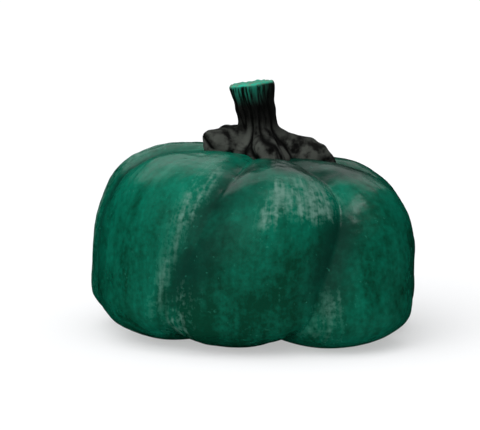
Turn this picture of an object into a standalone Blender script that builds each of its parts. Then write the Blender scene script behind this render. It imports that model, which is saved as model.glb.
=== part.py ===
"""Kabocha squash: a squat, lobed winter squash that stands on its lobes, with its dry corky stem.

Metres, +Z up. The origin is on the surface that the squash stands on, under the middle of its box.
+X is to the right and -Y is the front, the side with one broad lobe between two grooves.
"""

import math

import bpy
import bmesh
import numpy as np

# Fruit: the turned form before its lobes are cut
WIDEST_RADIUS = 0.0916
FORM_HEIGHT = 0.1102
WIDEST_HEIGHT = 0.0340
SHOULDER_FULLNESS = (2.8, 3.3)
FOOT_FULLNESS = (3.1, 3.4)
CROWN_HOLLOW_DEPTH = 0.0075
CROWN_HOLLOW_RADIUS = 0.047
BLOSSOM_HOLLOW_DEPTH = 0.010
BLOSSOM_HOLLOW_RADIUS = 0.028
BLOSSOM_BUTTON_DEPTH = 0.0025
BLOSSOM_BUTTON_RADIUS = 0.010
BUTTON_EDGE_WIDTH = 0.005

# Fruit: its lobes. Each groove has an azimuth at the foot and one at the crown, in degrees from the front,
# plus towards +X. The lobe after it swells past the turned form by its own amounts at foot and crown.
GROOVES = ((-86, -88), (-36, -13), (16, 40), (72, 90), (124, 136), (176, 183), (226, 226))
LOBE_SWELL = (
    (-0.0040, -0.0030),
    (-0.0060, -0.0020),
    (0.0140, 0.0024),
    (0.0045, 0.0005),
    (0.0010, 0.0020),
    (-0.0010, 0.0),
    (0.0010, 0.0015),
)
GROOVE_DEPTH = 0.0072
LOBE_FLATNESS = 2.4
LOBE_FADE_WIDTH = 0.042
LOBE_FADE_POWER = 0.8
GROOVE_TURNS_BETWEEN = (0.15, 0.85)
CROWN_LEAN = math.radians(6)
LEAN_PIVOT_HEIGHT = 0.038
REST_FLAT_DEPTH = 0.0005

# Fruit: how finely it is faceted
SEGMENTS_PER_LOBE = 16
RINGS = 36
PROFILE_STEPS = 1200

# Stem: a five-angled neck on a foot of five thick toes
FOOT_CENTRE = (0.0056, 0.001)
FOOT_SINK = 0.020
TOE_AZIMUTH = 8
TOE_REACH = (0.033, 0.042, 0.034, 0.034, 0.036)
WEB_REACH = 0.021
TOE_SHARPNESS = 1.6
TOE_HEIGHT = 0.0200
WEB_HEIGHT = 0.005
FLARE_LOW = 0.008
FLARE_HEIGHT = 0.0195
NECK_RADIUS = 0.0102
NECK_RIDGE = 0.08
CUT_RADIUS = 0.0118
CUT_RIM = 0.0012
STEM_HEIGHT = 0.0402
NECK_LEAN = math.radians(-10)
FOOT_TILT = math.radians(-11)
CUT_TILT = math.radians(7)
SEAT_GAP = 0.0003
CROWN_SAMPLE_RADIUS = 0.03

# Stem: how finely it is faceted
STEM_SEGMENTS = 60
NECK_RINGS = 5
FLARE_RINGS = 11


def smooth_step(share):
    """0 below 0, 1 above 1, and an S curve between."""
    share = np.clip(share, 0.0, 1.0)
    return share * share * (3.0 - 2.0 * share)


def clear_scene():
    for thing in list(bpy.data.objects):
        bpy.data.objects.remove(thing, do_unlink=True)


def finish(name, colour, roughness):
    """A plain dielectric finish."""
    material = bpy.data.materials.new(name)
    material.use_nodes = True
    surface = material.node_tree.nodes["Principled BSDF"]
    surface.inputs["Base Color"].default_value = (*colour, 1.0)
    surface.inputs["Roughness"].default_value = roughness
    surface.inputs["Metallic"].default_value = 0.0
    return material


def turned_profile(count):
    """Half section of the squash before its lobes are cut, from the crown to the blossom end.

    A superellipse in two halves, with a hollow at each pole and a small round button in the lower one.
    Gives radius, height and the outward normal's two parts, evenly spaced along the section.
    """
    turn = np.linspace(0.0, math.pi, PROFILE_STEPS)
    upper = turn <= math.pi / 2
    radial_power = 2.0 / np.where(upper, SHOULDER_FULLNESS[0], FOOT_FULLNESS[0])
    upright_power = 2.0 / np.where(upper, SHOULDER_FULLNESS[1], FOOT_FULLNESS[1])
    half_height = np.where(upper, FORM_HEIGHT - WIDEST_HEIGHT, WIDEST_HEIGHT)
    radius = WIDEST_RADIUS * np.abs(np.sin(turn)) ** radial_power
    rise = np.sign(np.cos(turn)) * np.abs(np.cos(turn)) ** upright_power
    height = WIDEST_HEIGHT + half_height * rise
    crown_dip = CROWN_HOLLOW_DEPTH * np.exp(-((radius / CROWN_HOLLOW_RADIUS) ** 2))
    blossom_dip = BLOSSOM_HOLLOW_DEPTH * np.exp(-((radius / BLOSSOM_HOLLOW_RADIUS) ** 2))
    past_button = (radius - BLOSSOM_BUTTON_RADIUS) / BUTTON_EDGE_WIDTH + 0.5
    button = BLOSSOM_BUTTON_DEPTH * (1.0 - smooth_step(past_button))
    height = height + np.where(upper, -crown_dip, blossom_dip - button)

    step = np.hypot(np.diff(radius), np.diff(height))
    along = np.concatenate([[0.0], np.cumsum(step)])
    wanted = np.linspace(0.0, along[-1], count)
    slope_r = np.interp(wanted, along, np.gradient(radius, along))
    slope_z = np.interp(wanted, along, np.gradient(height, along))
    length = np.hypot(slope_r, slope_z)
    return (
        np.interp(wanted, along, radius),
        np.interp(wanted, along, height),
        -slope_z / length,
        slope_r / length,
    )


def rind_rings():
    """Points of the rind: rings from crown to blossom end, each running round all the lobes.

    A point of the turned profile is pushed in along its normal, by the groove's depth at a groove and by
    nothing at a lobe's crest. A lobe's swell moves it outwards only, so that all lobes reach the same level
    underneath, and the upper part then leans towards +X.
    """
    radius, height, normal_r, normal_z = turned_profile(RINGS + 2)
    low, high = GROOVE_TURNS_BETWEEN
    level = smooth_step((np.linspace(1.0, 0.0, RINGS + 2)[:, None] - low) / (high - low))
    foot, crown = np.array(GROOVES, float).T
    groove = foot + (crown - foot) * level
    following = np.concatenate([groove[:, 1:], groove[:, :1] + 360.0], axis=1)
    across = np.arange(SEGMENTS_PER_LOBE) / SEGMENTS_PER_LOBE
    azimuth = groove[:, :, None] + (following - groove)[:, :, None] * across
    azimuth = np.radians(azimuth).reshape(RINGS + 2, -1)

    cut = np.abs(2.0 * across - 1.0) ** LOBE_FLATNESS
    cut = np.tile(cut, len(GROOVES))[None, :]
    foot, crown = np.array(LOBE_SWELL).T
    swell = np.repeat(foot + (crown - foot) * level, SEGMENTS_PER_LOBE, axis=1)
    # both fade out towards the poles, where the lobes run together
    fade = np.clip((radius - BLOSSOM_BUTTON_RADIUS) / LOBE_FADE_WIDTH, 0.0, 1.0)[:, None] ** LOBE_FADE_POWER
    push = GROOVE_DEPTH * cut * fade
    out = radius[:, None] - normal_r[:, None] * push + swell * (1.0 - cut) * fade
    up = height[:, None] - normal_z[:, None] * push

    x = out * np.sin(azimuth)
    y = -out * np.cos(azimuth)
    lean = CROWN_LEAN * smooth_step(up / FORM_HEIGHT)
    raised = up - LEAN_PIVOT_HEIGHT
    leant_x = x * np.cos(lean) + raised * np.sin(lean)
    leant_z = LEAN_PIVOT_HEIGHT + raised * np.cos(lean) - x * np.sin(lean)
    return np.stack([leant_x, y, leant_z], axis=2)


def closed_rings(rings):
    """A bmesh skin over the rings, whose first and last ring have each shrunk to one point."""
    mesh = bmesh.new()
    first = mesh.verts.new(rings[0].mean(axis=0))
    rows = [[mesh.verts.new(point) for point in ring] for ring in rings[1:-1]]
    last = mesh.verts.new(rings[-1].mean(axis=0))
    around = len(rows[0])
    for k in range(around):
        after = (k + 1) % around
        mesh.faces.new((first, rows[0][k], rows[0][after]))
        mesh.faces.new((last, rows[-1][after], rows[-1][k]))
        for upper, lower in zip(rows, rows[1:]):
            mesh.faces.new((upper[k], lower[k], lower[after], upper[after]))
    bmesh.ops.recalc_face_normals(mesh, faces=mesh.faces)
    return mesh


def object_of(mesh, name, material):
    """A named object from a bmesh, shaded smooth except over its sharp edges."""
    data = bpy.data.meshes.new(name)
    mesh.to_mesh(data)
    mesh.free()
    data.shade_smooth()
    data.set_sharp_from_angle(angle=math.radians(50))
    data.materials.append(material)
    piece = bpy.data.objects.new(name, data)
    bpy.context.scene.collection.objects.link(piece)
    return piece


def seated(rings):
    """The rings moved so that the lobes reach just under Z = 0 and the box is centred over the origin."""
    low = rings.min(axis=(0, 1))
    high = rings.max(axis=(0, 1))
    middle = (low + high) / 2
    return rings - np.array([middle[0], middle[1], low[2] + REST_FLAT_DEPTH])


def make_fruit(rings):
    """The whole squash as one body, with a small flat under each lobe that it stands on."""
    mesh = closed_rings(rings)
    everything = mesh.verts[:] + mesh.edges[:] + mesh.faces[:]
    bmesh.ops.bisect_plane(
        mesh, geom=everything, dist=1e-7, plane_co=(0, 0, 0), plane_no=(0, 0, -1), clear_outer=True
    )
    rims = [edge for edge in mesh.edges if edge.is_boundary]
    bmesh.ops.holes_fill(mesh, edges=rims)
    bmesh.ops.recalc_face_normals(mesh, faces=mesh.faces)
    return object_of(mesh, "fruit", finish("rind", (0.006, 0.095, 0.058), 0.3))


def make_seat_cutter(rings):
    """The rind grown by the seat's gap, which gives the stem's foot its underside."""
    mesh = closed_rings(rings)
    mesh.normal_update()
    moves = [vert.normal * SEAT_GAP for vert in mesh.verts]
    for vert, move in zip(mesh.verts, moves):
        vert.co += move
    cutter = object_of(mesh, "seat_cutter", finish("cutter", (0.5, 0.5, 0.5), 0.5))
    cutter.hide_render = True
    cutter.display_type = "WIRE"
    return cutter


def bezier(points, share):
    """A cubic curve through control values that may be arrays over the azimuth."""
    a, b, c, d = points
    rest = 1.0 - share
    return rest**3 * a + 3 * rest**2 * share * b + 3 * rest * share**2 * c + share**3 * d


def stem_rings(base_height):
    """Points of the stem: rings from the middle of the cut end, down the neck, over the foot and under it.

    The foot's outline swings between five toes and the webs between them, and each azimuth has its own
    curve from the neck down to it.
    """
    azimuth = np.linspace(0.0, 2 * math.pi, STEM_SEGMENTS, endpoint=False)
    from_toe = azimuth - math.radians(TOE_AZIMUTH)
    toes = len(TOE_REACH)
    toe = (0.5 + 0.5 * np.cos(toes * from_toe)) ** TOE_SHARPNESS
    toe_places = np.linspace(0.0, 2 * math.pi, toes + 1)
    reach = np.interp(from_toe % (2 * math.pi), toe_places, TOE_REACH + TOE_REACH[:1])
    foot = WEB_REACH + (reach - WEB_REACH) * toe
    ridge = 1.0 + NECK_RIDGE * np.cos(toes * from_toe)
    neck = NECK_RADIUS * ridge
    rim = CUT_RADIUS * ridge

    rows = [(rim * share, STEM_HEIGHT) for share in (0.0, 0.5, 0.9)]
    rows.append((rim * 0.97, STEM_HEIGHT - 0.2 * CUT_RIM))
    rows.append((rim, STEM_HEIGHT - CUT_RIM))
    for share in np.linspace(0.15, 0.85, NECK_RINGS):
        waist = rim + (neck - rim) * smooth_step(1.6 * share)
        rows.append((waist, STEM_HEIGHT + (FLARE_HEIGHT - STEM_HEIGHT) * share))
    shoulder = WEB_HEIGHT + (TOE_HEIGHT - WEB_HEIGHT) * toe
    for share in np.linspace(0.0, 1.0, FLARE_RINGS):
        out = bezier((neck, neck, foot, foot), share)
        rows.append((out, bezier((FLARE_HEIGHT, FLARE_LOW, shoulder, 0.0), share)))
    rows.append((foot * 0.97, -0.5 * FOOT_SINK))
    rows.append((foot * 0.7, -FOOT_SINK))
    rows.append((foot * 0.0, -1.2 * FOOT_SINK))

    rings = []
    for out, up in rows:
        tilt = FOOT_TILT + (CUT_TILT - FOOT_TILT) * smooth_step(up / STEM_HEIGHT)
        side = out * np.sin(azimuth)
        x = FOOT_CENTRE[0] + math.tan(NECK_LEAN) * np.maximum(up, 0.0) + side
        y = FOOT_CENTRE[1] - out * np.cos(azimuth)
        z = base_height + up + side * np.tan(tilt)
        rings.append(np.stack([x, y, z], axis=1))
    return np.stack(rings)


def crown_height(rings):
    """Mean height of the crown round the foot of the stem."""
    off_centre = np.hypot(rings[..., 0] - FOOT_CENTRE[0], rings[..., 1] - FOOT_CENTRE[1])
    near = (off_centre < CROWN_SAMPLE_RADIUS) & (rings[..., 2] > WIDEST_HEIGHT)
    return float(rings[..., 2][near].mean())


def make_stem(rings, cutter):
    """The stem, cut off underneath where it meets the crown."""
    mesh = closed_rings(stem_rings(crown_height(rings)))
    stem = object_of(mesh, "stem", finish("cork", (0.035, 0.038, 0.030), 0.85))
    seat = stem.modifiers.new("seat", "BOOLEAN")
    seat.operation = "DIFFERENCE"
    seat.solver = "EXACT"
    seat.object = cutter


clear_scene()
rind = seated(rind_rings())
make_fruit(rind)
make_stem(rind, make_seat_cutter(rind))
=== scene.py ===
import math

import bpy
import numpy as np
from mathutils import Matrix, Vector


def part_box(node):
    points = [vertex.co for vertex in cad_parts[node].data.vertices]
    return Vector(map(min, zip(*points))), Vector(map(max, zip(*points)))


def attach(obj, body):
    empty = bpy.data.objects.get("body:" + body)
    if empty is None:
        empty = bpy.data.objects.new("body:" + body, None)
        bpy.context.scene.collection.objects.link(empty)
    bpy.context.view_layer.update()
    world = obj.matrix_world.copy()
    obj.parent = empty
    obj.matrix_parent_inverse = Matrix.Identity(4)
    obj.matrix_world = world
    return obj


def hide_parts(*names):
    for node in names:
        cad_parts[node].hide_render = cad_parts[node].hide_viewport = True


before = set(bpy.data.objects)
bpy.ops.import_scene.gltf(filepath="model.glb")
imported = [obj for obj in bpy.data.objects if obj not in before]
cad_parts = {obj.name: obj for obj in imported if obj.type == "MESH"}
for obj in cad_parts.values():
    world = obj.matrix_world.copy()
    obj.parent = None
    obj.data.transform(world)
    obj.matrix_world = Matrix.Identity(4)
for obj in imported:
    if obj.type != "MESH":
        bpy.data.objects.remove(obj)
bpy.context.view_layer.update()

# Rind. A kabocha grows as one squat fruit of seven broad lobes, hollowed at the crown and at the blossom
# end. Its skin is hard and waxy: deep emerald, mottled, with broken grey-green stripes beside the grooves
# and a small corky scar where the flower was.
WIDEST_RADIUS = 0.0916
FORM_HEIGHT = 0.1102
WIDEST_HEIGHT = 0.0340
SHOULDER_FULLNESS = (2.8, 3.3)
FOOT_FULLNESS = (3.1, 3.4)
CROWN_HOLLOW_DEPTH = 0.0075
CROWN_HOLLOW_RADIUS = 0.047
BLOSSOM_HOLLOW_DEPTH = 0.010
BLOSSOM_HOLLOW_RADIUS = 0.028
BLOSSOM_BUTTON_DEPTH = 0.0025
BLOSSOM_BUTTON_RADIUS = 0.010
BUTTON_EDGE_WIDTH = 0.005
PROFILE_STEPS = 2400
# each groove's azimuth at the foot and at the crown, in degrees from the front, plus towards +X
GROOVES = ((-86, -88), (-36, -13), (16, 40), (72, 90), (124, 136), (176, 183), (226, 226))
# how far the lobe after each groove swells past the turned form, at the foot and at the crown
LOBE_SWELL = (
    (-0.0040, -0.0030),
    (-0.0060, -0.0020),
    (0.0140, 0.0024),
    (0.0045, 0.0005),
    (0.0010, 0.0020),
    (-0.0010, 0.0),
    (0.0010, 0.0015),
)
GROOVE_DEPTH = 0.0072
LOBE_FLATNESS = 2.4
LOBE_FADE_WIDTH = 0.042
LOBE_FADE_POWER = 0.8
GROOVE_TURNS_BETWEEN = (0.15, 0.85)
CROWN_LEAN = math.radians(6)
LEAN_PIVOT_HEIGHT = 0.038
REST_FLAT_DEPTH = 0.0005
RIND_SEGMENTS_PER_LOBE = 60
RIND_RINGS = 218
# the skin's own unevenness: wavelength and height of each size of swell, in metres
RIND_SWELLS = ((0.046, 0.00050), (0.017, 0.00024), (0.0065, 0.00010))
# the ground keeps the foot smooth: the swells grow over this height, from this share of it up
SWELLS_RISE_HEIGHT = 0.004
SWELLS_RISE_START = 0.3
# a direction shorter than this is none, as at the two poles
NO_LENGTH = 1e-12


def smooth_step(share):
    """0 below 0, 1 above 1, and the S curve 3s^2 - 2s^3 between."""
    share = np.clip(share, 0.0, 1.0)
    return share * share * (3.0 - 2.0 * share)


def swells(points, wavelength, seed, waves=28):
    """Even random swells over space, mostly within -1 to 1: the sum of plane sine waves of about one
    wavelength, each in its own random direction and phase, scaled so that their spread is a half."""
    draw = np.random.default_rng(seed)
    heading = draw.normal(size=(waves, 3))
    heading /= np.linalg.norm(heading, axis=1, keepdims=True)
    length = wavelength * draw.uniform(0.75, 1.35, waves)
    phase = draw.uniform(0.0, 2.0 * math.pi, waves)
    total = np.zeros(points.shape[:-1])
    for direction, reach, start in zip(heading, length, phase):
        total += np.sin(points @ direction * (2.0 * math.pi / reach) + start)
    return total / math.sqrt(2.0 * waves)


def turned_profile(count):
    """Half section of the fruit before its lobes: radius, height and the outward normal's two parts, at even
    steps from crown to blossom end. A superellipse in two halves, less a Gaussian hollow at each pole, with
    a round button let into the lower one."""
    turn = np.linspace(0.0, math.pi, PROFILE_STEPS)
    upper = turn <= math.pi / 2
    radial_power = 2.0 / np.where(upper, SHOULDER_FULLNESS[0], FOOT_FULLNESS[0])
    upright_power = 2.0 / np.where(upper, SHOULDER_FULLNESS[1], FOOT_FULLNESS[1])
    half_height = np.where(upper, FORM_HEIGHT - WIDEST_HEIGHT, WIDEST_HEIGHT)
    radius = WIDEST_RADIUS * np.abs(np.sin(turn)) ** radial_power
    rise = np.sign(np.cos(turn)) * np.abs(np.cos(turn)) ** upright_power
    height = WIDEST_HEIGHT + half_height * rise
    crown_dip = CROWN_HOLLOW_DEPTH * np.exp(-((radius / CROWN_HOLLOW_RADIUS) ** 2))
    blossom_dip = BLOSSOM_HOLLOW_DEPTH * np.exp(-((radius / BLOSSOM_HOLLOW_RADIUS) ** 2))
    past_button = (radius - BLOSSOM_BUTTON_RADIUS) / BUTTON_EDGE_WIDTH + 0.5
    button = BLOSSOM_BUTTON_DEPTH * (1.0 - smooth_step(past_button))
    height = height + np.where(upper, -crown_dip, blossom_dip - button)
    along = np.concatenate([[0.0], np.cumsum(np.hypot(np.diff(radius), np.diff(height)))])
    wanted = np.linspace(0.0, along[-1], count)
    slope_r = np.interp(wanted, along, np.gradient(radius, along))
    slope_z = np.interp(wanted, along, np.gradient(height, along))
    length = np.hypot(slope_r, slope_z)
    return (
        np.interp(wanted, along, radius),
        np.interp(wanted, along, height),
        -slope_z / length,
        slope_r / length,
    )


def lobed_surface(rows, across_count):
    """The rind over two parameters: rows from crown to blossom end, and round all the lobes.

    A point of the turned profile goes in along its normal, by the groove's depth at a groove and by nothing
    at a lobe's crest, and outwards by the lobe's swell; the upper part then leans towards +X. With it come
    the distance past the nearest groove, which is negative before it, and the azimuth."""
    radius, height, normal_r, normal_z = turned_profile(rows)
    low, high = GROOVE_TURNS_BETWEEN
    level = smooth_step((np.linspace(1.0, 0.0, rows)[:, None] - low) / (high - low))
    foot, crown = np.array(GROOVES, float).T
    groove = foot + (crown - foot) * level
    following = np.concatenate([groove[:, 1:], groove[:, :1] + 360.0], axis=1)
    across = np.arange(across_count) / across_count
    lobe_width = np.radians(following - groove)
    azimuth = np.radians(groove)[:, :, None] + lobe_width[:, :, None] * across
    azimuth = azimuth.reshape(rows, -1)
    cut = np.tile(np.abs(2.0 * across - 1.0) ** LOBE_FLATNESS, len(GROOVES))[None, :]
    foot, crown = np.array(LOBE_SWELL).T
    swell = np.repeat(foot + (crown - foot) * level, across_count, axis=1)
    fade = np.clip((radius - BLOSSOM_BUTTON_RADIUS) / LOBE_FADE_WIDTH, 0.0, 1.0)[:, None] ** LOBE_FADE_POWER
    push = GROOVE_DEPTH * cut * fade
    out = radius[:, None] - normal_r[:, None] * push + swell * (1.0 - cut) * fade
    up = height[:, None] - normal_z[:, None] * push
    x = out * np.sin(azimuth)
    y = -out * np.cos(azimuth)
    lean = CROWN_LEAN * smooth_step(up / FORM_HEIGHT)
    raised = up - LEAN_PIVOT_HEIGHT
    leant_x = x * np.cos(lean) + raised * np.sin(lean)
    leant_z = LEAN_PIVOT_HEIGHT + raised * np.cos(lean) - x * np.sin(lean)
    from_groove = np.where(across < 0.5, across, across - 1.0)
    from_groove = (lobe_width[:, :, None] * from_groove).reshape(rows, -1) * radius[:, None]
    return np.stack([leant_x, y, leant_z], axis=2), from_groove, azimuth


def outward(surface):
    """Unit normals of a closed ring surface: the cross product of its two central differences."""
    down = np.gradient(surface, axis=0)
    along = np.roll(surface, -1, axis=1) - np.roll(surface, 1, axis=1)
    normal = np.cross(down, along)
    return normal / np.maximum(np.linalg.norm(normal, axis=2, keepdims=True), NO_LENGTH)


def skin(name, surface, **values):
    """A smooth closed mesh over the rings, whose first and last ring each become one point, with each of the
    named values kept on its points."""
    rows, around = surface.shape[:2]

    def with_poles(grid):
        """The rings between as one list, after the mean of the first ring and before that of the last."""
        top, bottom = (ring.mean(axis=1).reshape(1, -1) for ring in (grid[:1], grid[-1:]))
        return np.concatenate([top, grid[1:-1].reshape((rows - 2) * around, -1), bottom])

    points = with_poles(surface)
    place = 1 + np.arange((rows - 2) * around).reshape(rows - 2, around)
    after = np.roll(place, -1, axis=1)
    quads = np.stack([place[:-1], place[1:], after[1:], after[:-1]], axis=2).reshape(-1, 4)
    last = len(points) - 1
    top = np.stack([np.zeros(around, int), place[0], after[0]], axis=1)
    bottom = np.stack([np.full(around, last), after[-1], place[-1]], axis=1)
    mesh = bpy.data.meshes.new(name)
    mesh.from_pydata(points.tolist(), [], quads.tolist() + top.tolist() + bottom.tolist())
    mesh.shade_smooth()
    for label, grid in values.items():
        flat = with_poles(grid)
        kind, holds = ("FLOAT", "value") if flat.shape[1] == 1 else ("FLOAT_VECTOR", "vector")
        kept = mesh.attributes.new(label, kind, "POINT")
        kept.data.foreach_set(holds, flat.astype(np.float32).ravel())
    piece = bpy.data.objects.new(name, mesh)
    bpy.context.scene.collection.objects.link(piece)
    return piece


surface, from_groove, azimuth = lobed_surface(RIND_RINGS + 2, RIND_SEGMENTS_PER_LOBE)
fruit_low, fruit_high = (np.array(corner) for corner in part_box("fruit"))
low, high = surface.min(axis=(0, 1)), surface.max(axis=(0, 1))
surface += (fruit_low + fruit_high) / 2 - (low + high) / 2
surface[..., 2] += fruit_low[2] - REST_FLAT_DEPTH - surface[..., 2].min()
relief = sum(tall * swells(surface, wide, seed) for seed, (wide, tall) in enumerate(RIND_SWELLS))
relief *= smooth_step(surface[..., 2] / SWELLS_RISE_HEIGHT - SWELLS_RISE_START)
surface += outward(surface) * relief[..., None]
surface[..., 2] = np.maximum(surface[..., 2], fruit_low[2])

# The rind's pattern. A level is the share of the way from the blossom end, 0, to the crown, 1. Each lobe's
# green has a lightness at its foot, its waist and its crown, from 0 for the deepest green to 1. This is
# partly the lobes' own tone and partly painted light: lighter towards the crown as painted top light, and
# darker towards the foot and on the right front lobes as painted shade.
LOBE_TONE_AND_PAINTED_LIGHT = (
    (0.27, 0.42, 0.86),
    (0.07, 0.37, 0.88),
    (0.36, 0.27, 0.55),
    (0.30, 0.10, 0.34),
    (0.35, 0.45, 0.60),
    (0.20, 0.35, 0.55),
    (0.35, 0.50, 0.60),
)
LIGHTNESS_LEVELS = (0.43, 0.57, 0.69)
# streaks run from crown to foot: their noise changes this much less down the fruit than round it
STREAK_DOWN = 0.32
# the dark band of each groove, painted shade in and beside it with some darker green: its reach before the
# groove and past it in metres, and its highest level
GROOVE_SHADE_BANDS = (
    (0.008, 0.006, 0.76),
    (0.016, 0.036, 0.78),
    (0.024, 0.018, 0.60),
    (0.022, 0.014, 0.74),
    (0.012, 0.010, 0.76),
    (0.014, 0.012, 0.76),
    (0.010, 0.014, 0.76),
)
# the levels where the bands start and where they are full, and how far above their highest they fade out
DARK_START, DARK_FULL, DARK_FADE = 0.38, 0.50, 0.11
# painted shade rings the stem's foot on its front right, in deep green: the levels and azimuths where it
# starts, is full and ends again, the azimuths in degrees
STEM_FOOT_SHADE_LEVELS = (0.72, 0.79)
STEM_FOOT_SHADE_AZIMUTHS = (-15, 12, 60, 95)
# grey-green stripes: groove, metres past it, half width, lowest and highest level, and strength, which may
# be over 1. The stripes are the kabocha's own, but at grooves 1 and 2 they are also painted light: painted
# highlight near the crown and painted reflection of the floor at the foot.
PALE_STRIPES = (
    (1, -0.013, 0.006, 0.62, 0.75, 0.58),
    (1, -0.012, 0.005, 0.42, 0.58, 0.26),
    (1, 0.004, 0.008, 0.34, 0.44, 0.45),
    (2, -0.019, 0.014, 0.66, 0.71, 1.30),
    (2, 0.008, 0.008, 0.34, 0.44, 0.22),
    (3, -0.014, 0.006, 0.50, 0.80, 0.60),
    (4, 0.014, 0.007, 0.42, 0.76, 0.70),
    (5, -0.015, 0.008, 0.46, 0.78, 0.65),
    (6, 0.012, 0.006, 0.36, 0.70, 0.70),
    (0, -0.016, 0.007, 0.40, 0.76, 0.65),
)
STRIPE_END = 0.06
# grey-green bloom on the middle lobe's upper part, partly a painted highlight: place round the fruit and
# half width, in lobes, lowest and highest level, and strength
PALE_BLOOM_AND_HIGHLIGHT = ((1.455, 0.075, 0.64, 0.69, 1.25), (1.58, 0.16, 0.67, 0.685, 0.90))


def per_lobe(foot_waist_crown):
    """Three values for each lobe, spread over the skin: S curves join them from foot to crown, and a cosine
    blends each lobe's into its neighbours' over the quarters of its width beside the grooves."""
    across = np.arange(RIND_SEGMENTS_PER_LOBE) / RIND_SEGMENTS_PER_LOBE
    near = 0.5 + 0.5 * np.cos(math.pi * np.clip(np.abs(across - 0.5) * 4.0 - 1.0, 0.0, 1.0))
    spread = []
    for values in np.array(foot_waist_crown).T:
        before = (values + np.roll(values, 1)) / 2
        after = (values + np.roll(values, -1)) / 2
        edge = np.where(across < 0.5, before[:, None], after[:, None])
        spread.append((edge + (values[:, None] - edge) * near).ravel())
    foot, waist, crown = spread
    low, middle, high = LIGHTNESS_LEVELS
    lower = smooth_step((level - low) / (middle - low))
    upper = smooth_step((level - middle) / (high - middle))
    return foot + (waist - foot) * lower + (crown - waist) * upper


def window(value, start, full, last, end):
    """0 outside start to end, 1 from full to last, and S curves between."""
    return smooth_step((value - start) / (full - start)) * (1.0 - smooth_step((value - last) / (end - last)))


level = np.linspace(1.0, 0.0, RIND_RINGS + 2)[:, None] * np.ones_like(azimuth)
streak = np.stack([np.sin(azimuth), np.cos(azimuth), level * STREAK_DOWN], axis=2)
lobe_of, share_across = np.divmod(np.arange(level.shape[1]), RIND_SEGMENTS_PER_LOBE)
groove_of = (lobe_of + (2 * share_across >= RIND_SEGMENTS_PER_LOBE)) % len(GROOVES)
# painted shade along each groove, in darker green
before, past, highest = np.array(GROOVE_SHADE_BANDS)[groove_of].T
dark = 1.0 - smooth_step(np.abs(from_groove) / np.where(from_groove < 0.0, before, past))
dark *= window(level, DARK_START, DARK_FULL, highest, highest + DARK_FADE)
# painted shade round the stem's foot
stem_foot_shade = window((np.degrees(azimuth) + 180.0) % 360.0 - 180.0, *STEM_FOOT_SHADE_AZIMUTHS)
stem_foot_shade *= smooth_step((level - STEM_FOOT_SHADE_LEVELS[0]) / (STEM_FOOT_SHADE_LEVELS[1] - STEM_FOOT_SHADE_LEVELS[0]))
dark = np.maximum(dark, stem_foot_shade)
pale = np.zeros_like(level)
# stripes, with painted highlight and painted floor reflection at grooves 1 and 2
for groove, offset, half_width, lowest, highest, strength in PALE_STRIPES:
    across_it = np.exp(-(((from_groove - offset) / half_width) ** 2)) * (groove_of == groove)
    along_it = window(level, lowest - STRIPE_END, lowest, highest, highest + STRIPE_END)
    pale = np.maximum(pale, strength * across_it * along_it)
# the bloom, partly a painted highlight
for middle, half_width, lowest, highest, strength in PALE_BLOOM_AND_HIGHLIGHT:
    apart = lobe_of + share_across / RIND_SEGMENTS_PER_LOBE - middle
    along_it = window(level, lowest - STRIPE_END, lowest, highest, highest + STRIPE_END)
    pale = np.maximum(pale, strength * np.exp(-((apart / half_width) ** 2)) * along_it)
# each lobe's lightness: its own tone with painted top light and painted shade
light = per_lobe(LOBE_TONE_AND_PAINTED_LIGHT)
rind = skin("rind_skin", surface, level=level, streak=streak, light=light, dark=dark, pale=pale)


def finish_nodes(name):
    """A new material, its Principled surface, and the function that adds its nodes."""
    material = bpy.data.materials.new(name)
    material.use_nodes = True
    tree = material.node_tree

    def add(kind, inputs, **settings):
        """A node of one kind, with its inputs by name or place, each a value or another node's output."""
        made = tree.nodes.new("ShaderNode" + kind)
        for label, value in settings.items():
            setattr(made, label, value)
        for label, value in inputs.items():
            if isinstance(value, bpy.types.NodeSocket):
                tree.links.new(value, made.inputs[label])
            else:
                made.inputs[label].default_value = value
        return made

    return material, tree.nodes["Principled BSDF"], add


def plug(add_to, label, value):
    """Links a node's output to an input of the surface."""
    add_to.id_data.links.new(value, add_to.inputs[label])


def shade(add, share, low_colour, high_colour):
    """A colour between two, by a share from 0 to 1. Places 6, 7 and 2 are the Mix node's colour sockets."""
    made = add("Mix", {0: share, 6: low_colour, 7: high_colour}, data_type="RGBA")
    return made.outputs[2]


def between(add, value, start, end, smooth=True):
    """0 at start and before it, 1 at end and past it, and a rise between. The start may be the larger."""
    kind = "SMOOTHSTEP" if smooth else "LINEAR"
    made = add("MapRange", {0: value, 1: start, 2: end, 3: 0.0, 4: 1.0}, interpolation_type=kind)
    return made.outputs[0]


def reckon(add, operation, first, second):
    """The result of one operation on two values or outputs."""
    made = add("Math", {0: first, 1: second}, operation=operation)
    return made.outputs[0]


def noise(add, place, scale, detail=3.0, rough=0.55):
    """Cloudy noise over a place, from 0 to 1 with its mean near a half."""
    made = add("TexNoise", {"Vector": place, "Scale": scale, "Detail": detail, "Roughness": rough})
    return made.outputs["Fac"]


DEEP_GREEN = (0.0002, 0.030, 0.015, 1.0)
BRIGHT_EMERALD = (0.0004, 0.118, 0.072, 1.0)
# the deep green of the grooves' painted shade
GROOVE_SHADE_GREEN = (0.0010, 0.023, 0.0145, 1.0)
# the stripes' and the bloom's grey-green, also the colour of their painted highlight
GREY_GREEN = (0.090, 0.185, 0.148, 1.0)
FLECK_GREEN = (0.020, 0.180, 0.120, 1.0)
SCAR_TAN = (0.200, 0.160, 0.100, 1.0)
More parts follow.
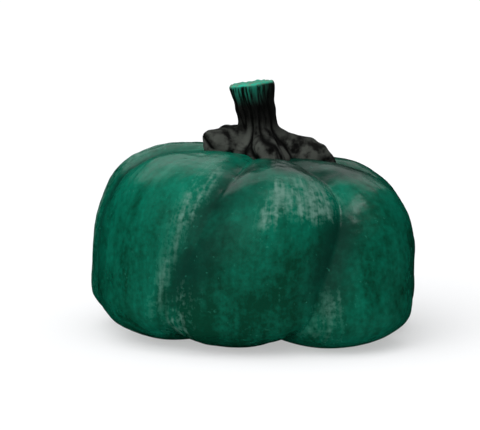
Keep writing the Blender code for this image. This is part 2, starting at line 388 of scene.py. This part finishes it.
# each noise's scale, its detail and, where it isn't the usual, its roughness
STREAK_NOISE = (9.0, 5.0, 0.6)
MOTTLE_NOISE = (48.0, 6.0, 0.65)
SPECKLE_NOISE = (330.0, 3.0, 0.6)
STRIPE_NOISE = (22.0, 3.0, 0.6)
FLECK_NOISE = (420.0, 2.0, 0.5)
FLECK_PATCH_NOISE = (60.0, 3.0)
PORE_NOISE = (260.0, 4.0)
# how much streak, mottle and speckle change a lobe's lightness
LIGHTNESS_CHANGES = (1.2, 1.3, 0.9)
# how much speckle and mottle break a stripe up, and how much its own strength fills it in
STRIPE_SPECKLE, STRIPE_MOTTLE, STRIPE_FILL = 0.9, 0.6, 0.30
# from where to where, in the value that each is read from, these go from none to all
DARK_BREAKS = (0.48, -0.10)
STRIPE_BLOTCHES = (0.52, 0.98)
STRIPE_ONSET = (-0.02, 0.50)
FLECK_EDGE = (0.66, 0.74)
FLECK_PATCHES = (0.42, 0.62)
SCAR_EDGE = (0.048, 0.036)
# how far the grey and the flecks cover the green under them
STRIPE_COVER = 0.85
FLECK_COVER = 0.45
# roughness of the waxy skin, and of the dull stripes and scar
RIND_ROUGHNESS = (0.27, 0.60)
RIND_SPECULAR = 0.15
FLECK_RELIEF = -0.25
PORE_STRENGTH, PORE_DEPTH = 0.25, 0.0006

rind_finish, surface_of_rind, add = finish_nodes("waxy_rind")
place = add("TexCoord", {}).outputs["Object"]
along_streak = add("Attribute", {}, attribute_name="streak").outputs["Vector"]
height_share, lightness, dark_share, pale_share = (
    add("Attribute", {}, attribute_name=label).outputs["Fac"] for label in ("level", "light", "dark", "pale")
)

# each lobe's green, with its painted light and shade, streaked from crown to foot, mottled and speckled
uneven = reckon(add, "SUBTRACT", noise(add, along_streak, *STREAK_NOISE), 0.5)
mottle = reckon(add, "SUBTRACT", noise(add, place, *MOTTLE_NOISE), 0.5)
speckle = reckon(add, "SUBTRACT", noise(add, place, *SPECKLE_NOISE), 0.5)
for change, strength in zip((uneven, mottle, speckle), LIGHTNESS_CHANGES):
    lightness = reckon(add, "ADD", lightness, reckon(add, "MULTIPLY", change, strength))
colour = shade(add, between(add, lightness, 0.0, 1.0, smooth=False), DEEP_GREEN, BRIGHT_EMERALD)
# the mottle breaks up the dark bands, the painted shade of the grooves and of the stem's foot
broken_dark = reckon(add, "MULTIPLY", dark_share, between(add, mottle, *DARK_BREAKS))
colour = shade(add, broken_dark, colour, GROOVE_SHADE_GREEN)
# the stripes and the bloom, with their painted highlight, are lines of small blotches, densest along their
# middle
fine = noise(add, along_streak, *STRIPE_NOISE)
for change, strength in ((speckle, STRIPE_SPECKLE), (mottle, STRIPE_MOTTLE), (pale_share, STRIPE_FILL)):
    fine = reckon(add, "ADD", fine, reckon(add, "MULTIPLY", change, strength))
broken_pale = between(add, fine, *STRIPE_BLOTCHES)
pale = reckon(add, "MULTIPLY", broken_pale, between(add, pale_share, *STRIPE_ONSET))
colour = shade(add, reckon(add, "MULTIPLY", pale, STRIPE_COVER), colour, GREY_GREEN)
# pale green flecks lie in loose patches, and the blossom scar is tan
fleck = between(add, noise(add, place, *FLECK_NOISE), *FLECK_EDGE)
fleck_patch = between(add, noise(add, place, *FLECK_PATCH_NOISE), *FLECK_PATCHES)
fleck = reckon(add, "MULTIPLY", fleck, fleck_patch)
colour = shade(add, reckon(add, "MULTIPLY", fleck, FLECK_COVER), colour, FLECK_GREEN)
scar = between(add, height_share, *SCAR_EDGE)
colour = shade(add, scar, colour, SCAR_TAN)
plug(surface_of_rind, "Base Color", colour)
dull = reckon(add, "MAXIMUM", pale, scar)
waxy, matt = RIND_ROUGHNESS
roughness = add("MapRange", {0: dull, 1: 0.0, 2: 1.0, 3: waxy, 4: matt}).outputs[0]
plug(surface_of_rind, "Roughness", roughness)
surface_of_rind.inputs["Specular IOR Level"].default_value = RIND_SPECULAR
grain = reckon(add, "MULTIPLY", fleck, FLECK_RELIEF)
grain = reckon(add, "ADD", noise(add, place, *PORE_NOISE), grain)
bump = add("Bump", {"Height": grain, "Strength": PORE_STRENGTH, "Distance": PORE_DEPTH})
plug(surface_of_rind, "Normal", bump.outputs["Normal"])
rind.data.materials.append(rind_finish)
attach(rind, "root")
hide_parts("fruit")

# Stem. What is left of the vine's stalk: a dry, five-angled corky neck, cut off square, on a foot whose five
# thick toes grew out over the crown and hold it fast. Its bark is split lengthwise.
FOOT_CENTRE = (0.0056, 0.001)
FOOT_SINK = 0.020
# the first toe's azimuth, in degrees from the front, and how far each reaches, going round from it
TOE_AZIMUTH = 8
TOE_REACH = (0.033, 0.042, 0.034, 0.034, 0.036)
WEB_REACH = 0.021
TOE_SHARPNESS = 1.6
TOE_HEIGHT = 0.0200
WEB_HEIGHT = 0.005
FLARE_LOW = 0.008
FLARE_HEIGHT = 0.0195
NECK_RADIUS = 0.0102
NECK_RIDGE = 0.08
CUT_RADIUS = 0.0118
CUT_RIM = 0.0012
STEM_HEIGHT = 0.0402
NECK_LEAN = math.radians(-10)
FOOT_TILT = math.radians(-11)
CUT_TILT = math.radians(7)
STEM_SEGMENTS = 300
CUT_ROWS = 24
RIM_ROWS = 8
NECK_ROWS = 40
FLARE_ROWS = 70
SUNK_ROWS = 8
# the rim runs into the neck over one part in this of the neck's length
RIM_TAPER = 1.6
# the lowest ring of the sunk part stays just open, for its pole
SUNK_ROUND = 0.9999
FISSURE_DEPTH = 0.0009
FISSURE_SPACING = 0.0050
FISSURE_SHARPNESS = 0.6
# fissures run lengthwise: their pattern is read at one radius round the stem and at a share of its height
FISSURE_ROUND = 0.012
FISSURE_ALONG = 0.12
FISSURE_WANDER = 0.10
WANDER_LENGTH = 0.020
# outside the fissures the bark stands out by its swell, and its knobs have a height and a wavelength
BARK_SWELL = 0.0006
KNOB_HEIGHT, KNOB_LENGTH = 0.0004, 0.008
PITH_HEIGHT, PITH_LENGTH = 0.0003, 0.0035
# the bark's relief stops this share of the rim below the cut, and fades at both ends over these heights
BARK_TOP_SHARE = 0.3
BARK_TOP_FADE, BARK_FOOT_FADE = 0.002, 0.004
# the bark is still green down from the cut, mostly on the front left: its mean share round the stem, and
# the swing of that share about one azimuth
FRESH_LENGTH = 0.013
FRESH_AZIMUTH = math.radians(-62)
FRESH_SHARE, FRESH_SWING = 0.5, 0.6


def bezier(points, share):
    """A cubic curve from the first of four control values to the last, drawn towards the two between: their
    mean, weighted by the terms of the cube of (1 - share) + share. Each may be an array over the azimuth."""
    a, b, c, d = points
    rest = 1.0 - share
    return rest**3 * a + 3 * rest**2 * share * b + 3 * rest * share**2 * c + share**3 * d


def stem_surface():
    """The stem over two parameters: rows from the middle of the cut end, over the rim, down the neck, over
    the foot and under it, and round the azimuth.

    The foot's outline swings between five toes and the webs between them, as a power of a raised cosine,
    and each azimuth has its own cubic curve from the neck down to it. The foot and the cut each tilt by
    their own angle, and an S curve joins the two. With it come the height and azimuth of each point."""
    azimuth = np.linspace(0.0, 2 * math.pi, STEM_SEGMENTS, endpoint=False)
    from_toe = azimuth - math.radians(TOE_AZIMUTH)
    toes = len(TOE_REACH)
    toe = (0.5 + 0.5 * np.cos(toes * from_toe)) ** TOE_SHARPNESS
    toe_places = np.linspace(0.0, 2 * math.pi, toes + 1)
    reach = np.interp(from_toe % (2 * math.pi), toe_places, TOE_REACH + TOE_REACH[:1])
    foot = WEB_REACH + (reach - WEB_REACH) * toe
    ridge = 1.0 + NECK_RIDGE * np.cos(toes * from_toe)
    neck, rim = NECK_RADIUS * ridge, CUT_RADIUS * ridge
    shoulder = WEB_HEIGHT + (TOE_HEIGHT - WEB_HEIGHT) * toe
    even = np.ones_like(azimuth)

    cut = np.linspace(0.0, 1.0, CUT_ROWS, endpoint=False)[:, None]
    round_rim = np.linspace(0.0, math.pi / 2, RIM_ROWS)[:, None]
    down = np.linspace(0.0, 1.0, NECK_ROWS + 1)[1:-1, None]
    flare = np.linspace(0.0, 1.0, FLARE_ROWS)[:, None]
    sunk = np.linspace(0.0, 1.0, SUNK_ROWS + 1)[1:, None]
    rim_inner = rim - CUT_RIM
    out = [
        rim_inner * cut,
        rim_inner + CUT_RIM * np.sin(round_rim),
        rim + (neck - rim) * smooth_step(RIM_TAPER * down),
        bezier((neck, neck, foot, foot), flare),
        foot * np.sqrt(1.0 - sunk**2 * SUNK_ROUND),
    ]
    up = [
        STEM_HEIGHT * np.ones_like(cut) * even,
        STEM_HEIGHT - CUT_RIM * (1.0 - np.cos(round_rim)) * even,
        (STEM_HEIGHT - CUT_RIM + (FLARE_HEIGHT - STEM_HEIGHT + CUT_RIM) * down) * even,
        bezier((FLARE_HEIGHT, FLARE_LOW, shoulder, 0.0), flare),
        -FOOT_SINK * sunk * even,
    ]
    out, up = np.concatenate(out), np.concatenate(up)
    tilt = FOOT_TILT + (CUT_TILT - FOOT_TILT) * smooth_step(up / STEM_HEIGHT)
    side = out * np.sin(azimuth)
    x = FOOT_CENTRE[0] + math.tan(NECK_LEAN) * np.maximum(up, 0.0) + side
    y = FOOT_CENTRE[1] - out * np.cos(azimuth)
    z = up + side * np.tan(tilt)
    return np.stack([x, y, z], axis=2), up, azimuth * np.ones_like(out)


stem_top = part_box("stem")[1][2]
stalk, stalk_up, stalk_azimuth = stem_surface()
stalk[..., 2] += stem_top - stalk[..., 2].max()
# bark: lengthwise fissures that wander and break, and shallow knobs over all
bark_azimuth = stalk_azimuth + FISSURE_WANDER * swells(stalk, WANDER_LENGTH, seed=31)
round_place = np.stack([np.cos(bark_azimuth), np.sin(bark_azimuth)], axis=2) * FISSURE_ROUND
lengthwise = np.concatenate([round_place, stalk_up[..., None] * FISSURE_ALONG], axis=2)
fissure = 1.0 - np.abs(swells(lengthwise, FISSURE_SPACING, seed=32)) ** FISSURE_SHARPNESS
fissure = np.clip(fissure, 0.0, 1.0)
on_side = smooth_step((stalk_up.max() - CUT_RIM * BARK_TOP_SHARE - stalk_up) / BARK_TOP_FADE)
on_side *= smooth_step((stalk_up + BARK_FOOT_FADE) / BARK_FOOT_FADE)
bark = BARK_SWELL - FISSURE_DEPTH * fissure**2 + KNOB_HEIGHT * swells(stalk, KNOB_LENGTH, seed=33)
bark *= on_side
pith = PITH_HEIGHT * swells(stalk, PITH_LENGTH, seed=34) * (1.0 - on_side) * (stalk_up > 0.0)
stalk += outward(stalk) * (bark + pith)[..., None]
from_cut = stalk_up.max() - stalk_up
fresh = 1.0 - smooth_step(from_cut / FRESH_LENGTH)
fresh *= smooth_step(FRESH_SHARE + FRESH_SWING * np.cos(stalk_azimuth - FRESH_AZIMUTH))
fissure *= on_side
stem = skin("stem_bark", stalk, lengthwise=lengthwise, from_cut=from_cut, fissure=fissure, fresh=fresh)

BARK_DARK = (0.0010, 0.0012, 0.0010, 1.0)
BARK_GREY = (0.0042, 0.0046, 0.0040, 1.0)
FRESH_GREEN = (0.005, 0.130, 0.085, 1.0)
BARK_FOOT = (0.043, 0.047, 0.041, 1.0)
CUT_GREEN = (0.020, 0.300, 0.200, 1.0)
CUT_TAN = (0.100, 0.180, 0.125, 1.0)
FIBRE_NOISE = (520.0, 6.0, 0.62)
BLOTCH_NOISE = (160.0, 5.0)
PITH_NOISE = (300.0, 4.0)
BARK_GRAIN_NOISE = (700.0, 4.0)
BARK_GRAIN_SHARE = 0.5
# from where to where, in the value that each is read from, these go from none to all
GREY_FIBRES = (0.38, 0.66)
FRESH_FIBRES = (0.36, 0.60)
FOOT_BELOW_CUT = (0.018, 0.034)
FOOT_BLOTCHES = (0.35, 0.6)
FISSURE_EDGE = (0.45, 0.85)
CUT_EDGE = (0.0016, 0.0004)
PITH_SPOTS = (0.4, 0.62)
ROUGH_FIBRES = (-2.0, 0.9)
BARK_SPECULAR = 0.10
BARK_BUMP_STRENGTH, BARK_BUMP_DEPTH = 0.7, 0.0006
bark_finish, surface_of_bark, add = finish_nodes("corky_bark")
place = add("TexCoord", {}).outputs["Object"]
lengthwise_place = add("Attribute", {}, attribute_name="lengthwise").outputs["Vector"]
below_cut, in_fissure, green_share = (
    add("Attribute", {}, attribute_name=label).outputs["Fac"] for label in ("from_cut", "fissure", "fresh")
)

# near-black fibres, greyer in blotches on the foot, green below the cut, and darkest in the fissures
fibre = noise(add, lengthwise_place, *FIBRE_NOISE)
colour = shade(add, between(add, fibre, *GREY_FIBRES), BARK_DARK, BARK_GREY)
foot_share = between(add, below_cut, *FOOT_BELOW_CUT)
blotch = between(add, noise(add, place, *BLOTCH_NOISE), *FOOT_BLOTCHES)
colour = shade(add, reckon(add, "MULTIPLY", foot_share, blotch), colour, BARK_FOOT)
green_share = reckon(add, "MULTIPLY", green_share, between(add, fibre, *FRESH_FIBRES))
colour = shade(add, green_share, colour, FRESH_GREEN)
colour = shade(add, between(add, in_fissure, *FISSURE_EDGE), colour, BARK_DARK)
# the cut end is green with spots of dry pith
spots = between(add, noise(add, place, *PITH_NOISE), *PITH_SPOTS)
cut_colour = shade(add, spots, CUT_GREEN, CUT_TAN)
colour = shade(add, between(add, below_cut, *CUT_EDGE), colour, cut_colour)
plug(surface_of_bark, "Base Color", colour)
surface_of_bark.inputs["Specular IOR Level"].default_value = BARK_SPECULAR
plug(surface_of_bark, "Roughness", between(add, fibre, *ROUGH_FIBRES, smooth=False))
grain = reckon(add, "MULTIPLY", noise(add, place, *BARK_GRAIN_NOISE), BARK_GRAIN_SHARE)
grain = reckon(add, "ADD", fibre, grain)
bump = add("Bump", {"Height": grain, "Strength": BARK_BUMP_STRENGTH, "Distance": BARK_BUMP_DEPTH})
plug(surface_of_bark, "Normal", bump.outputs["Normal"])
stem.data.materials.append(bark_finish)
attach(stem, "root")
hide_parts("stem")

# Studio. A white light table in a pale room, with a lit white cloth hung far round it, under a broad soft
# light, with a second one low in front. The rind mirrors only a ceiling panel and a window, as in a tent
# with dark flags round the lens.
FLOOR_HALF_WIDTH = 6.0
FLOOR_WHITE = (0.495, 0.50, 0.51, 1.0)
FLOOR_ROUGHNESS = 0.9
FLOOR_GLOW = 0.42
CLOTH_RADIUS = 5.6
CLOTH_HEIGHT = 2.4
CLOTH_FOLDS = 96
CLOTH_GLOW = 1.1
UNLIT_BLACK = (0.0, 0.0, 0.0, 1.0)
WHITE_LIGHT = (1.0, 1.0, 1.0, 1.0)
ROOM_STRENGTH = 0.50
LIGHTS_FACE = (0.0, 0.0, 0.05)


def lit_up(finish, glow):
    """Takes the gloss from a finish and lets it glow white."""
    finish.inputs["Specular IOR Level"].default_value = 0.0
    finish.inputs["Emission Color"].default_value = WHITE_LIGHT
    finish.inputs["Emission Strength"].default_value = glow


sides = ((-1, -1), (1, -1), (1, 1), (-1, 1))
corners = [(across * FLOOR_HALF_WIDTH, back * FLOOR_HALF_WIDTH, 0.0) for across, back in sides]
floor_mesh = bpy.data.meshes.new("table_top")
floor_mesh.from_pydata(corners, [], [(0, 1, 2, 3)])
floor = bpy.data.objects.new("table_top", floor_mesh)
bpy.context.scene.collection.objects.link(floor)
floor_finish, surface_of_floor, add = finish_nodes("matt_white")
surface_of_floor.inputs["Base Color"].default_value = FLOOR_WHITE
surface_of_floor.inputs["Roughness"].default_value = FLOOR_ROUGHNESS
lit_up(surface_of_floor, FLOOR_GLOW)
floor_mesh.materials.append(floor_finish)
floor.visible_glossy = False

# the cloth hangs from one round hem to another, in flat panels, and only the camera sees it
turn = np.linspace(0.0, 2.0 * math.pi, CLOTH_FOLDS, endpoint=False)
rim = np.stack([CLOTH_RADIUS * np.sin(turn), CLOTH_RADIUS * np.cos(turn)], axis=1)
hems = [np.column_stack([rim, np.full(CLOTH_FOLDS, height)]) for height in (0.0, CLOTH_HEIGHT)]
fold = np.arange(CLOTH_FOLDS)
next_fold = np.roll(fold, -1)
panels = np.stack([fold, next_fold, next_fold + CLOTH_FOLDS, fold + CLOTH_FOLDS], axis=1)
cloth_mesh = bpy.data.meshes.new("white_cloth")
cloth_mesh.from_pydata(np.concatenate(hems).tolist(), [], panels.tolist())
cloth = bpy.data.objects.new("white_cloth", cloth_mesh)
bpy.context.scene.collection.objects.link(cloth)
cloth_finish, surface_of_cloth, add = finish_nodes("lit_cloth")
surface_of_cloth.inputs["Base Color"].default_value = UNLIT_BLACK
lit_up(surface_of_cloth, CLOTH_GLOW)
cloth_mesh.materials.append(cloth_finish)
cloth.visible_glossy = cloth.visible_diffuse = cloth.visible_shadow = False

room = bpy.data.worlds.new("white_room")
bpy.context.scene.world = room
room.use_nodes = True
walls = room.node_tree.nodes["Background"]
walls.inputs["Color"].default_value = WHITE_LIGHT
walls.inputs["Strength"].default_value = ROOM_STRENGTH
room.cycles_visibility.glossy = False
bpy.context.scene.view_settings.view_transform = "Standard"


def hang(name, light, place):
    """Puts a light at its place, facing the fruit."""
    holder = bpy.data.objects.new(name, light)
    holder.location = place
    facing = Vector(LIGHTS_FACE) - Vector(place)
    holder.rotation_euler = facing.to_track_quat("-Z", "Y").to_euler()
    bpy.context.scene.collection.objects.link(holder)
    return holder


def soft_light(name, place, strength, spread):
    """A broad light from far off that isn't seen as a reflection."""
    light = bpy.data.lights.new(name, "SUN")
    light.energy = strength
    light.angle = math.radians(spread)
    hang(name, light, place).visible_glossy = False


def mirrored_panel(name, place, width, depth, power):
    """A rectangular panel that is seen only as a reflection."""
    light = bpy.data.lights.new(name, "AREA")
    light.shape = "RECTANGLE"
    light.size, light.size_y = width, depth
    light.energy = power
    hang(name, light, place).visible_diffuse = False


soft_light("top_light", (-0.34, -0.40, 1.0), strength=2.0, spread=100)
soft_light("front_light", (-0.42, -0.90, 0.36), strength=2.05, spread=70)
mirrored_panel("ceiling_panel", (-0.10, 0.80, 1.00), width=1.7, depth=0.9, power=5.8)
mirrored_panel("window", (0.34, -0.26, 1.10), width=0.40, depth=0.32, power=4.0)

# Camera. It stands back as for a catalogue picture and looks eight degrees down. The photograph's scale and
# the pixel where the middle of the fruit is seen give its lens and its aim.
PICTURE_WIDTH, PICTURE_HEIGHT = 480, 430
METRES_PER_PIXEL = 0.000564
FRUIT_MIDDLE_HEIGHT = 0.047
FRUIT_MIDDLE_PIXEL = (252.9, 247.8)
CAMERA_DISTANCE = 1.2
CAMERA_ELEVATION = math.radians(7.8)
SENSOR_WIDTH = 36.0
away = Vector((0.0, -math.cos(CAMERA_ELEVATION), math.sin(CAMERA_ELEVATION)))
upwards = Vector((0.0, math.sin(CAMERA_ELEVATION), math.cos(CAMERA_ELEVATION)))
aim = Vector((0.0, 0.0, FRUIT_MIDDLE_HEIGHT))
aim.x -= (FRUIT_MIDDLE_PIXEL[0] - PICTURE_WIDTH / 2) * METRES_PER_PIXEL
aim += upwards * (FRUIT_MIDDLE_PIXEL[1] - PICTURE_HEIGHT / 2) * METRES_PER_PIXEL
lens = bpy.data.cameras.new("camera")
lens.sensor_width = SENSOR_WIDTH
lens.lens = SENSOR_WIDTH * CAMERA_DISTANCE / (PICTURE_WIDTH * METRES_PER_PIXEL)
camera = bpy.data.objects.new("camera", lens)
camera.location = aim + away * CAMERA_DISTANCE
camera.rotation_euler = (-away).to_track_quat("-Z", "Y").to_euler()
bpy.context.scene.collection.objects.link(camera)
bpy.context.scene.camera = camera
